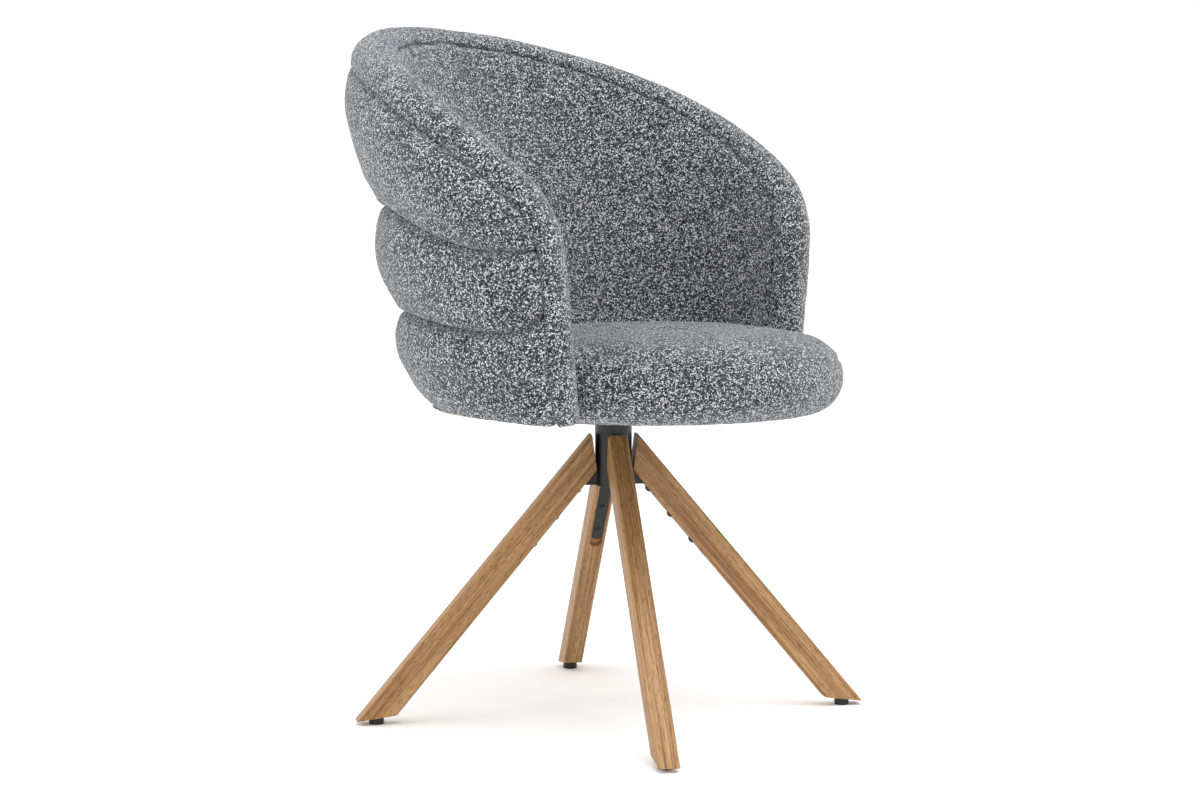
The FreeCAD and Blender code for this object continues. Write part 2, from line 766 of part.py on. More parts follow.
def fixing_screw(point):
    """A flush screw: head in the ring, shank down into the board."""
    high = board_top()
    head_base = high - size.base_ring_thickness / 2
    head = cylinder(size.fixing_screw_head_radius, head_base, high, point.x, point.y)
    shank = cylinder(size.fixing_screw_radius, high - size.fixing_screw_length, head_base,
                     point.x, point.y)
    return head.fuse(shank).removeSplitter()


def make_seat_board():
    low = size.seat_underside_level
    high = board_top()
    board = seat_slab(size.seat_board_inset, low, high)
    rebate = ring_slab(ring_base(), high, size.soft_clearance)
    board = board.cut(rebate)
    for across, along in bolt_points():
        barrel_hole = cylinder(size.tee_nut_barrel_radius, low, high, across, along)
        flange_seat = cylinder(size.tee_nut_flange_radius, high - size.tee_nut_flange_thickness,
                               high, across, along)
        board = board.cut(barrel_hole).cut(flange_seat)
    for point in fixing_points():
        board = board.cut(fixing_screw(point))
    return shape_node("seat_board", board)


def make_base_ring():
    ring = ring_slab(ring_base(), board_top(), 0.0)
    for point in fixing_points():
        ring = ring.cut(fixing_screw(point))
    return shape_node("shell_base_ring", ring)


def make_fixing_screws():
    screws = [fixing_screw(point) for point in fixing_points()]
    return shape_node("shell_fixing_screws", Part.makeCompound(screws))


def make_seat_cushion():
    """Cushion with a crowned top, puffed side, a seam line and a recess for the board."""
    low = size.seat_underside_level
    seam = size.seat_seam_level
    crown = size.seat_crown_level
    widest = low + (seam - low) * size.seat_widest_share

    side_wires = []
    for turn in (90.0, 60.0, 30.0, 0.0):
        angle = math.radians(turn)
        inset = size.seat_underside_inset * (1.0 - math.cos(angle))
        side_wires.append(seat_outline(widest - (widest - low) * math.sin(angle), inset))
    for step in (0.5, 1.0):
        inset = size.seat_seam_inset * step ** 2
        side_wires.append(seat_outline(widest + (seam - widest) * step, inset))
    side = closed_loft(side_wires)

    top_wires = [side_wires[-1]]
    edge_rise = crown - seam - size.seat_crown_dome
    for turn in (15.0, 30.0, 45.0, 60.0, 72.0, 81.0, 87.0):
        angle = math.radians(turn)
        share = math.cos(angle) ** CROWN_FULLNESS
        level = seam + edge_rise * math.sin(angle) + size.seat_crown_dome * (1.0 - share ** 2)
        top_wires.append(seat_outline(level, size.seat_seam_inset, share))
    top = closed_loft(top_wires)

    cushion = side.fuse(top)
    clear = size.soft_clearance
    below = low - size.seat_board_thickness
    recess = seat_slab(size.seat_board_inset - clear, below, board_top() + clear)
    ring = ring_slab(below, board_top() + clear, clear)
    cushion = cushion.cut(recess).cut(ring)
    return shape_node("seat_cushion", cushion)


def make_dust_cover():
    """Thin cloth under the board with a square hole round the seat plate."""
    clear = size.soft_clearance
    high = size.seat_underside_level - clear
    low = high - size.dust_cover_thickness
    cloth = seat_slab(size.seat_board_inset, low, high)
    side = size.seat_plate_side + 4 * clear
    hole = Part.makeBox(side, side, high - low, Vector(-side / 2, -side / 2, low))
    return shape_node("dust_cover", cloth.cut(hole))


# Tub

def rim_frames():
    """Stations along the rim, from one arm's foot to the other.

    Each has its point, the rim's direction, the wall's outward direction and the band's reach.
    """
    step = 1e-4
    _, corner_level = rim_corner()
    base = size.tub_base_level
    rise = (corner_level - base) / ARM_FRONT_STEPS
    levels = [base + rise * count for count in range(ARM_FRONT_STEPS)]
    right = Meridian(-1.0, corner_level)
    left = Meridian(1.0, corner_level)
    foot_reach = band_outer_reach(1.0)
    frames = [(right.at(0, level), -right.rise, right.outward, foot_reach) for level in levels]
    for turn in rim_turns():
        share, level = rim_place(turn, 0.0)
        along = tub_point(*rim_place(turn - step, 0.0)) - tub_point(*rim_place(turn + step, 0.0))
        outward = Meridian(share, level).outward
        frames.append((tub_point(share, level), along, outward, band_outer_reach(share)))
    frames += [(left.at(0, level), left.rise, left.outward, foot_reach)
               for level in reversed(levels)]
    return frames


def rim_axes(along, outward):
    """Unit directions square to the rim line: across the wall, and away from it."""
    along = Vector(along).normalize()
    across = (outward - along * outward.dot(along)).normalize()
    return across, across.cross(along).normalize()


def rim_cutter(clearance):
    """Solid over the rim and before the arm fronts that trims the wall's layers."""
    reach = 3 * size.band_radius
    wires = []
    frames = rim_frames()
    first, last = frames[0], frames[-1]
    below_first = (first[0] + first[1] * size.band_radius, *first[1:])
    below_last = (last[0] - last[1] * size.band_radius, *last[1:])
    for point, along, outward, _ in [below_first] + frames + [below_last]:
        across, away = rim_axes(along, outward)
        start = point - away * clearance
        wires.append(polygon([
            start - across * reach,
            start + across * reach,
            start + across * reach + away * reach,
            start - across * reach + away * reach]))
    return closed_loft(wires)


def frame_layer():
    """Upright plywood wall from the base ring to just under the rim."""
    half = size.frame_thickness / 2
    foot = board_top()
    wires = []
    for share in wall_shares():
        level = rim_level(share)
        meridian = Meridian(share, level)
        top = level + size.band_radius / 2
        wires.append(polygon([
            meridian.on_level(-half, foot),
            meridian.on_level(half, foot),
            meridian.at(half, top),
            meridian.at(-half, top)]))
    return closed_loft(wires).cut(rim_cutter(size.soft_clearance))


def lining_foot():
    return board_top() + size.soft_clearance


def lining_depth(share, level):
    """How far the lining's face lies inside the wall's middle: fuller low in the tub."""
    height = size.rim_back_level - lining_foot()
    low_share = (size.rim_back_level - level) / height
    return size.band_radius + size.lining_fullness * low_share * (1.0 - share ** 6)


def inner_layer():
    """Smooth padded lining."""
    near = -size.frame_thickness / 2 - size.soft_clearance
    foot = lining_foot()
    wires = []
    for share in wall_shares():
        level = rim_level(share)
        meridian = Meridian(share, level)
        top = level + size.band_radius / 2
        wires.append(polygon([
            meridian.on_level(-lining_depth(share, foot), foot),
            meridian.on_level(near, foot),
            meridian.at(near, top),
            meridian.at(-lining_depth(share, top), top)]))
    return closed_loft(wires).cut(rim_cutter(size.soft_clearance))


def seam_levels(share):
    """Levels of the two sewn seams, which dip along each side and lift again at the arm front."""
    place = (abs(share) - size.seam_dip_start) / (size.seam_dip_end - size.seam_dip_start)
    place = min(max(place, 0.0), 1.0)
    fall = place ** 2 * (3.0 - 2.0 * place)
    past = max(abs(share) - size.seam_dip_end, 0.0) / (1.0 - size.seam_dip_end)
    upper = size.upper_seam_level - size.upper_seam_dip * fall + size.upper_seam_lift * past ** 2
    lower = size.lower_seam_level - size.lower_seam_dip * fall + size.lower_seam_lift * past ** 2
    return lower, upper


def bulge_at(bulge, share, height):
    """How far a roll stands out past its seams, less at the arm fronts and where it is low."""
    fade = 1.0 - 0.75 * abs(share) ** 8
    return min(bulge * fade, height / 7)


def band_outer_reach(share):
    """How far outside the wall's middle the band is sewn to the top roll: more at the back."""
    return size.band_radius + size.band_back_fullness * max(1.0 - share ** 2, 0.0)


def roll_face(meridian, bulge, low, high, widest_share, top_offset):
    """Two arcs from the lower seam to the upper edge, upright where they meet."""
    seam = size.band_radius
    widest = low + (high - low) * widest_share
    out = meridian.at(seam + bulge, widest)
    lower_middle = meridian.at(seam + ROLL_QUARTER * bulge, (low + widest) / 2)
    upper_offset = top_offset + ROLL_QUARTER * (seam + bulge - top_offset)
    upper_middle = meridian.at(upper_offset, (widest + high) / 2)
    return [
        arc(meridian.at(seam, low), lower_middle, out),
        arc(out, upper_middle, meridian.at(top_offset, high))]


def roll_section(meridian, bulge, low, high, widest_share, top_offset):
    """Closed wire of a roll: flat against the wall, puffed outside."""
    near = size.frame_thickness / 2 + size.soft_clearance
    edges = [line(meridian.at(near, low), meridian.at(size.band_radius, low))]
    edges += roll_face(meridian, bulge, low, high, widest_share, top_offset)
    edges += [
        line(meridian.at(top_offset, high), meridian.at(near, high)),
        line(meridian.at(near, high), meridian.at(near, low))]
    return Part.Wire(edges)


def upper_roll():
    """Roll between the upper seam and the band along the rim."""
    wires = []
    for turn in rim_turns(math.radians(UPPER_ROLL_LAST_TURN)):
        share, level = rim_place(turn, 2 * size.soft_clearance)
        low = seam_levels(share)[1] + size.seam_gap / 2
        bulge = bulge_at(size.top_roll_bulge, share, level - low)
        wires.append(roll_section(Meridian(share, level), bulge, low, level,
                                  size.top_roll_widest_share, band_outer_reach(share)))
    return closed_loft(wires)


def middle_roll():
    """Roll between the two seams."""
    wires = []
    for share in wall_shares():
        lower, upper = seam_levels(share)
        low = lower + size.seam_gap / 2
        high = upper - size.seam_gap / 2
        bulge = bulge_at(size.middle_roll_bulge, share, high - low)
        wires.append(roll_section(Meridian(share, rim_level(share)), bulge, low, high,
                                  size.roll_widest_share, size.band_radius))
    return closed_loft(wires).cut(rim_cutter(size.soft_clearance))


def lower_roll():
    """Roll below the lower seam, which turns in under the wall."""
    near = size.frame_thickness / 2 + size.soft_clearance
    seam = size.band_radius
    base = size.tub_base_level
    low = base + size.tuck_height
    wires = []
    for share in wall_shares():
        meridian = Meridian(share, rim_level(share))
        high = seam_levels(share)[0] - size.seam_gap / 2
        bulge = bulge_at(size.bottom_roll_bulge, share, high - low)
        tuck_across = near + (seam - near) * TUCK_ACROSS
        foot = meridian.on_level(near, base)
        edges = [arc(foot, meridian.at(tuck_across, base + size.tuck_height * TUCK_UP),
                     meridian.at(seam, low))]
        edges += roll_face(meridian, bulge, low, high, size.roll_widest_share, seam)
        edges += [
            line(meridian.at(seam, high), meridian.at(near, high)),
            line(meridian.at(near, high), foot)]
        wires.append(Part.Wire(edges))
    return closed_loft(wires).cut(rim_cutter(size.soft_clearance))


def band_section(point, along, outward, reach):
    """D-shaped wire square to the rim line: flat towards the wall, round away from it."""
    across, away = rim_axes(along, outward)
    radius = size.band_radius
    slant = math.sqrt(0.5)
    inner = point - across * radius
    outer = point + across * reach
    crest = point + away * radius
    return Part.Wire([
        line(outer, inner),
        arc(inner, point + (away - across) * slant * radius, crest),
        arc(crest, point + away * slant * radius + across * slant * reach, outer)])


def edge_band():
    """Padded band from the foot of one arm front, along the rim, to the foot of the other."""
    return closed_loft([band_section(*frame) for frame in rim_frames()])


def make_tub():
    makers = {
        "shell_frame": frame_layer,
        "shell_inner_pad": inner_layer,
        "outer_roll_top": upper_roll,
        "outer_roll_middle": middle_roll,
        "outer_roll_bottom": lower_roll,
        "edge_band": edge_band,
    }
    return [shape_node(name, maker()) for name, maker in makers.items()]


def make_seat():
    nodes = make_swivel()
    nodes.append(make_seat_plate())
    plain = make_seat_fasteners()
    plain += [make_seat_board(), make_base_ring(), make_fixing_screws(), make_seat_cushion(),
              make_dust_cover()]
    plain += make_tub()
    for node in plain + nodes[:-1]:
        node.Placement = Placement(AXIS, Rotation())
    return nodes + plain


def axis_along():
    """Y of the swivel axis that puts the origin under the middle of the chair's depth."""
    _, upper = seam_levels(0.0)
    widest = upper + (size.rim_back_level - upper) * size.top_roll_widest_share
    back = Meridian(0.0, size.rim_back_level).at(size.band_radius + size.top_roll_bulge, widest)
    return (size.seat_front_reach - back.y) / 2


AXIS = Vector(0, axis_along(), 0)


def check(nodes):
    """Stop if any feature failed or any sub-part's shape is missing or invalid."""
    for item in doc.Objects:
        if "Invalid" in item.State or "Error" in item.State:
            raise RuntimeError(f"{item.Name} failed: {item.State}")
    for node in nodes:
        shape = node.Shape
        if shape.isNull() or not shape.isValid() or shape.Volume <= 0:
            raise RuntimeError(f"{node.Label} has no valid shape")


def write(nodes):
    for node in nodes:
        node.Shape.exportStep(f"parts/{node.Label}.step")


nodes = make_base() + make_seat()
doc.recompute()
check(nodes)
write(nodes)
for node in nodes:
    box = node.Shape.BoundBox
    print(f"{node.Label}: {len(node.Shape.Solids)} solids, {node.Shape.Volume:.0f} mm3, "
          f"z {box.ZMin:.1f} to {box.ZMax:.1f}")
print(f"swivel axis at y {AXIS.y:.4f} mm")
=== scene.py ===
"""Looks of the swivel tub chair: upholstery, oak, painted steel, stage and camera.

Everything is in metres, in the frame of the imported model. The chair faces -Y, the floor is at
z = 0 and the tub turns about the middle of the hub column.
"""

import math

import bmesh
import bpy
from bpy.props import FloatProperty, FloatVectorProperty, IntProperty, PointerProperty
from mathutils import Matrix, Vector, kdtree, noise


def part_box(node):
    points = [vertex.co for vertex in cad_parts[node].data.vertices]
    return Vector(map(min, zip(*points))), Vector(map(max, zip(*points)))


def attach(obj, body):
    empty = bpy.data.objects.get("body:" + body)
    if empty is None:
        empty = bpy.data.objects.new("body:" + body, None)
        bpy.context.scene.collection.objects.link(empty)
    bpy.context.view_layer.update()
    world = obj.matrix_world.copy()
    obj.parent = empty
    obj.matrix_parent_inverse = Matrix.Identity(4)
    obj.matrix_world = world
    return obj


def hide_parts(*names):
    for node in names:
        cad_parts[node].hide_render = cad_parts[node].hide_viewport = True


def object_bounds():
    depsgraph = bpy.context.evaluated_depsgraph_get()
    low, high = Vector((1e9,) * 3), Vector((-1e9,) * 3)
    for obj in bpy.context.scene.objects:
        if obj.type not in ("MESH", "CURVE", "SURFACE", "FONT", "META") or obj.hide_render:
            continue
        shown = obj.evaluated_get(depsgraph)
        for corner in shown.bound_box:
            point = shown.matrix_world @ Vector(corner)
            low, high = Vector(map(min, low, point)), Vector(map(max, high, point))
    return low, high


bl_info = {
    "name": "Swivel Tub Chair",
    "version": (1, 0, 0),
    "blender": (4, 5, 0),
    "location": "3D View > Sidebar > Chair",
    "description": "Dresses the swivel tub chair and sets its stage",
    "category": "Object",
}

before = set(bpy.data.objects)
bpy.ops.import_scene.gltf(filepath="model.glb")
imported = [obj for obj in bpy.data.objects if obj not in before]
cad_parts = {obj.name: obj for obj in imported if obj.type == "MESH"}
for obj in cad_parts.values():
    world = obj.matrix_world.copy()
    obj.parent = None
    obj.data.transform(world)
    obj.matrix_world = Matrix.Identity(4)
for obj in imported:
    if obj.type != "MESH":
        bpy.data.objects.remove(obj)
CAD_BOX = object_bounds()

MM = 0.001
WELD = 0.01 * MM
SHARP_ANGLE = math.radians(35)
SEAM_STEP = 3 * MM
LEG_LABELS = ("front_right", "front_left", "rear_left", "rear_right")

# The floor reaches this many metres each way, in this many cells.
FLOOR_REACH = 60.0
FLOOR_CELLS = 8

# Millimetres, as Blender counts a camera's lens and sensor.
SENSOR_WIDTH = 36.0


def middle(node):
    low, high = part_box(node)
    return (low + high) / 2


def linear(hex_text):
    """Linear RGBA of an sRGB colour written as #RRGGBB."""
    channels = [int(hex_text[place:place + 2], 16) / 255 for place in (1, 3, 5)]
    return [c / 12.92 if c <= 0.04045 else ((c + 0.055) / 1.055) ** 2.4 for c in channels] + [1.0]


AXIS = middle("hub_column")


# Settings

class FabricSettings(bpy.types.PropertyGroup):
    """Yarns of the upholstery."""
    dark_yarn: FloatVectorProperty(
        name="Dark Yarn", description="Blue-grey ground yarn, the darkest of the three",
        subtype="COLOR", size=4, min=0, max=1, default=linear("#25262D"))
    middle_yarn: FloatVectorProperty(
        name="Middle Yarn", description="Grey yarn between the dark ground and the flecks",
        subtype="COLOR", size=4, min=0, max=1, default=linear("#6F707A"))
    light_yarn: FloatVectorProperty(
        name="Light Yarn", description="Pale loops that show as flecks",
        subtype="COLOR", size=4, min=0, max=1, default=linear("#F4F4F6"))
    loop_width: FloatProperty(
        name="Loop Width", description="Width of one curled loop of yarn",
        default=1.4 * MM, unit="LENGTH", precision=5)
    fibre_width: FloatProperty(
        name="Fibre Width", description="Width of the fibres in a loop, drawn coarse enough to show",
        default=0.8 * MM, unit="LENGTH", precision=5)
    relief: FloatProperty(
        name="Relief", description="Height of the loops above the ground of the cloth",
        default=1.1 * MM, unit="LENGTH", precision=5)


class PaddingSettings(bpy.types.PropertyGroup):
    """How the stuffing fills the covers."""
    grid: FloatProperty(
        name="Grid", description="Spacing of the even mesh that a pad is shaped on",
        default=5.0 * MM, unit="LENGTH", precision=5)
    lining_grid: FloatProperty(
        name="Lining Grid", description="Spacing of the mesh of the large smooth lining",
        default=6.5 * MM, unit="LENGTH", precision=5)
    band_grid: FloatProperty(
        name="Band Grid", description="Spacing of the mesh of the narrow edge band",
        default=4.5 * MM, unit="LENGTH", precision=5)
    pressure: FloatProperty(
        name="Pressure", description="Pressure of the stuffing in the cloth simulation", default=4.0)
    swell_limit: FloatProperty(
        name="Swell Limit", description="Farthest that the stuffing may push the cover out",
        default=3.0 * MM, unit="LENGTH", precision=5)
    swell_frames: IntProperty(
        name="Swell Frames", description="Frames that the cloth simulation runs for", default=20)
    fullness: FloatProperty(
        name="Fullness", description="How far every cover is filled out, so that seams close",
        default=1.0 * MM, unit="LENGTH", precision=5)
    lump_height: FloatProperty(
        name="Lump Height", description="Height of the broad unevenness of the stuffing",
        default=1.1 * MM, unit="LENGTH", precision=5)
    lump_width: FloatProperty(
        name="Lump Width", description="Width of the broad unevenness of the stuffing",
        default=75 * MM, unit="LENGTH", precision=5)
    crease_width: FloatProperty(
        name="Crease Width", description="Half width of the crease where two covers are sewn together",
        default=5.0 * MM, unit="LENGTH", precision=5)
    roll_crease: FloatProperty(
        name="Roll Crease", description="How deep the seams between the outer rolls are drawn in",
        default=1.8 * MM, unit="LENGTH", precision=5)
    pucker_height: FloatProperty(
        name="Pucker Height", description="Height of the gathers beside a sewn seam",
        default=1.3 * MM, unit="LENGTH", precision=5)
    pucker_width: FloatProperty(
        name="Pucker Width", description="Width of the gathers beside a sewn seam",
        default=20 * MM, unit="LENGTH", precision=5)
    nub_height: FloatProperty(
        name="Nub Height", description="Height of the nubs that roughen the outline of the cloth",
        default=0.4 * MM, unit="LENGTH", precision=5)
    nub_width: FloatProperty(
        name="Nub Width", description="Width of the nubs that roughen the outline of the cloth",
        default=4.5 * MM, unit="LENGTH", precision=5)
    foot_tuck: FloatProperty(
        name="Foot Tuck", description="How far the foot of the edge band turns in under the tub",
        default=11 * MM, unit="LENGTH", precision=5)
    foot_height: FloatProperty(
        name="Foot Height", description="Height over which the foot of the edge band turns in",
        default=48 * MM, unit="LENGTH", precision=5)
    roll_slant: FloatProperty(
        name="Roll Slant", description="How far the lowest roll's foot swells in front and shrinks behind",
        default=6 * MM, unit="LENGTH", precision=5)
    seam_level: FloatProperty(
        name="Cushion Seam Level", description="Height of the sewn seam round the seat cushion",
        default=437 * MM, unit="LENGTH", precision=5)
    seam_depth: FloatProperty(
        name="Seam Depth", description="How far the cushion's seam is drawn in",
        default=1.8 * MM, unit="LENGTH", precision=5)
    seam_width: FloatProperty(
        name="Seam Width", description="Width of the groove along the cushion's seam",
        default=3.5 * MM, unit="LENGTH", precision=5)


class OakSettings(bpy.types.PropertyGroup):
    """Colours and grain of the legs."""
    late_wood: FloatVectorProperty(
        name="Late Wood", description="Darker wood of the growth rings",
        subtype="COLOR", size=4, min=0, max=1, default=linear("#8C6034"))
    early_wood: FloatVectorProperty(
        name="Early Wood", description="Paler wood between the rings",
        subtype="COLOR", size=4, min=0, max=1, default=linear("#B88F5E"))
    pore_colour: FloatVectorProperty(
        name="Pores", description="Dark open pores of oak",
        subtype="COLOR", size=4, min=0, max=1, default=linear("#4A2F17"))
    ring_width: FloatProperty(
        name="Ring Width", description="Width of the growth rings across the leg",
        default=5 * MM, unit="LENGTH", precision=5)
    pore_width: FloatProperty(
        name="Pore Width", description="Width of a pore, drawn coarse enough to show",
        default=0.7 * MM, unit="LENGTH", precision=5)
    leg_slope: FloatProperty(
        name="Leg Slope", description="Slope of the legs, which the grain follows",
        default=math.radians(49.9), unit="ROTATION")


class MetalSettings(bpy.types.PropertyGroup):
    """Colours of the steel and plastic parts."""
    black_paint: FloatVectorProperty(
        name="Black Paint", description="Matt black powder paint of the hub and the arms",
        subtype="COLOR", size=4, min=0, max=1, default=linear("#0B0C0E"))
    bright_steel: FloatVectorProperty(
        name="Bright Steel", description="Turned steel of the spindle and the plate",
        subtype="COLOR", size=4, min=0, max=1, default=linear("#B9BBBE"))
    black_plastic: FloatVectorProperty(
        name="Black Plastic", description="Moulded plastic of the glides and the end cap",
        subtype="COLOR", size=4, min=0, max=1, default=linear("#0C0C0E"))


class StageSettings(bpy.types.PropertyGroup):
    """Camera, floor and lights."""
    camera_azimuth: FloatProperty(
        name="Camera Azimuth", description="Direction of the camera round the chair",
        default=math.radians(303.5), unit="ROTATION")
    camera_distance: FloatProperty(
        name="Camera Distance", description="From the swivel axis, along the floor",
        default=2.9643, unit="LENGTH", precision=4)
    camera_height: FloatProperty(
        name="Camera Height", description="Above the floor",
        default=0.6469, unit="LENGTH", precision=4)
    camera_pitch: FloatProperty(
        name="Camera Pitch", description="How far the camera looks down",
        default=math.radians(4.947), unit="ROTATION")
    camera_yaw: FloatProperty(
        name="Camera Yaw", description="How far the camera looks past the swivel axis",
        default=math.radians(-0.3135), unit="ROTATION")
    camera_lens: FloatProperty(
        name="Lens", description="Focal length in millimetres on a 36 mm sensor",
        default=73.8, unit="CAMERA")
    floor_colour: FloatVectorProperty(
        name="Floor", description="Pale floor and backdrop",
        subtype="COLOR", size=4, min=0, max=1, default=linear("#FFFFFF"))
    surround_strength: FloatProperty(
        name="Surround", description="Strength of the even light from all round", default=1.05)
    key_power: FloatProperty(
        name="Key Light", description="Power of the soft light from above and the right", default=75.0)
    key_azimuth: FloatProperty(
        name="Key Azimuth", description="Direction of the key light, counted from the camera's",
        default=math.radians(50), unit="ROTATION")
    key_elevation: FloatProperty(
        name="Key Elevation", description="How high the key light stands above the horizon",
        default=math.radians(66), unit="ROTATION")
    side_power: FloatProperty(
        name="Side Light", description="Power of the soft light from the left", default=30.0)
    side_azimuth: FloatProperty(
        name="Side Azimuth", description="Direction of the side light, counted from the camera's",
        default=math.radians(-75), unit="ROTATION")
    side_elevation: FloatProperty(
        name="Side Elevation", description="How high the side light stands above the horizon",
        default=math.radians(30), unit="ROTATION")
    light_size: FloatProperty(
        name="Light Size", description="Side of each square soft light",
        default=2.6, unit="LENGTH")
    light_distance: FloatProperty(
        name="Light Distance", description="From the middle of the chair to each light",
        default=3.2, unit="LENGTH")


SETTINGS = {
    "chair_fabric": FabricSettings,
    "chair_padding": PaddingSettings,
    "chair_oak": OakSettings,
    "chair_metal": MetalSettings,
    "chair_stage": StageSettings,
}


# Materials

# Loops curl this often per loop width, and worn patches come this often per metre.
CURLS_PER_LOOP = 0.6
PATCHES_PER_METRE = 14.0

# Lengths along the grain and the width of a streak, in ring widths and pore widths.
RING_LENGTH = 60
STREAK_LENGTH = 120
STREAK_WIDTH = 1.4
PORE_LENGTH = 14

# Hard surfaces: grains across one blotch's breadth, its darker tone, and its change of gloss.
GRAIN_PER_BLOTCH = 0.02
BLOTCH_TONE = 0.8
GLOSS_SPREAD = 0.06


def add_node(tree, kind, values=None, links=None, stops=None, **settings):
    """Add a node with its settings, input values, incoming links and colour stops."""
    node = tree.nodes.new(kind)
    for name, value in settings.items():
        setattr(node, name, value)
    for name, value in (values or {}).items():
        node.inputs[name].default_value = value
    for name, output in (links or {}).items():
        tree.links.new(output, node.inputs[name])
    if stops:
        ramp = node.color_ramp
        while len(ramp.elements) < len(stops):
            ramp.elements.new(1.0)
        for element, (place, colour) in zip(ramp.elements, stops):
            element.position = place
            element.color = colour
    return node


def new_material(name):
    """An empty material, its node tree and its output node."""
    material = bpy.data.materials.new(name)
    material.use_nodes = True
    tree = material.node_tree
    tree.nodes.clear()
    output = tree.nodes.new("ShaderNodeOutputMaterial")
    return material, tree, output


def grey(value):
    return (value, value, value, 1.0)


def melange_boucle(fabric):
    """Boucle of curled loops in three greys: a salt-and-pepper cloth that drinks the light, with painted
    shade in the hollows between loops.
    """
    found = bpy.data.materials.get("melange_boucle")
    if found:
        return found
    material, tree, output = new_material("melange_boucle")
    place = add_node(tree, "ShaderNodeTexCoord").outputs["Object"]
    curl = add_node(tree, "ShaderNodeTexNoise", {"Scale": CURLS_PER_LOOP / fabric.loop_width,
                                                 "Detail": 2.0}, {"Vector": place})
    curled = add_node(tree, "ShaderNodeVectorMath", {1: (fabric.loop_width,) * 3},
                      {0: curl.outputs["Color"], 2: place}, operation="MULTIPLY_ADD")
    loops = add_node(tree, "ShaderNodeTexVoronoi", {"Scale": 1 / fabric.loop_width},
                     {"Vector": curled.outputs["Vector"]})
    fibres = add_node(tree, "ShaderNodeTexNoise", {"Scale": 1 / fabric.fibre_width, "Detail": 3.0,
                                                   "Roughness": 0.6}, {"Vector": place})
    patches = add_node(tree, "ShaderNodeTexNoise", {"Scale": PATCHES_PER_METRE, "Detail": 3.0},
                       {"Vector": place})
    choice = add_node(tree, "ShaderNodeSeparateColor", links={"Color": loops.outputs["Color"]})
    yarn = add_node(tree, "ShaderNodeValToRGB", links={"Fac": choice.outputs["Red"]}, stops=[
        (0.0, fabric.dark_yarn), (0.34, fabric.dark_yarn), (0.52, fabric.middle_yarn),
        (0.70, fabric.middle_yarn), (0.88, fabric.light_yarn)])
    # Painted shade: the colour darkens towards the rim of each loop, standing in for the shade in the
    # hollows between the loops.
    painted_valley_shade = add_node(tree, "ShaderNodeValToRGB", links={"Fac": loops.outputs["Distance"]}, stops=[
        (0.25, grey(1.0)), (0.85, grey(0.45))])
    shaded = add_node(tree, "ShaderNodeMixRGB", {"Fac": 1.0},
                      {"Color1": yarn.outputs["Color"], "Color2": painted_valley_shade.outputs["Color"]},
                      blend_type="MULTIPLY")
    strands = add_node(tree, "ShaderNodeValToRGB", links={"Fac": fibres.outputs["Fac"]}, stops=[
        (0.3, grey(0.7)), (0.7, grey(1.0))])
    stranded = add_node(tree, "ShaderNodeMixRGB", {"Fac": 0.7},
                        {"Color1": shaded.outputs["Color"], "Color2": strands.outputs["Color"]},
                        blend_type="MULTIPLY")
    wear = add_node(tree, "ShaderNodeValToRGB", links={"Fac": patches.outputs["Fac"]}, stops=[
        (0.3, grey(0.88)), (0.7, grey(1.0))])
    colour = add_node(tree, "ShaderNodeMixRGB", {"Fac": 1.0},
                      {"Color1": stranded.outputs["Color"], "Color2": wear.outputs["Color"]},
                      blend_type="MULTIPLY")
    dome = add_node(tree, "ShaderNodeMath", {0: 1.0}, {1: loops.outputs["Distance"]},
                    operation="SUBTRACT")
    height = add_node(tree, "ShaderNodeMath", {1: 0.35},
                      {0: fibres.outputs["Fac"], 2: dome.outputs["Value"]}, operation="MULTIPLY_ADD")
    bump = add_node(tree, "ShaderNodeBump", {"Strength": 0.9, "Distance": fabric.relief},
                    {"Height": height.outputs["Value"]})
    shader = add_node(tree, "ShaderNodeBsdfPrincipled",
                      {"Roughness": 0.95, "Specular IOR Level": 0.2, "Sheen Weight": 0.45,
                       "Sheen Roughness": 0.45, "Sheen Tint": linear("#DADDE4")},
                      {"Base Color": colour.outputs["Color"], "Normal": bump.outputs["Normal"]})
    tree.links.new(shader.outputs["BSDF"], output.inputs["Surface"])
    return material


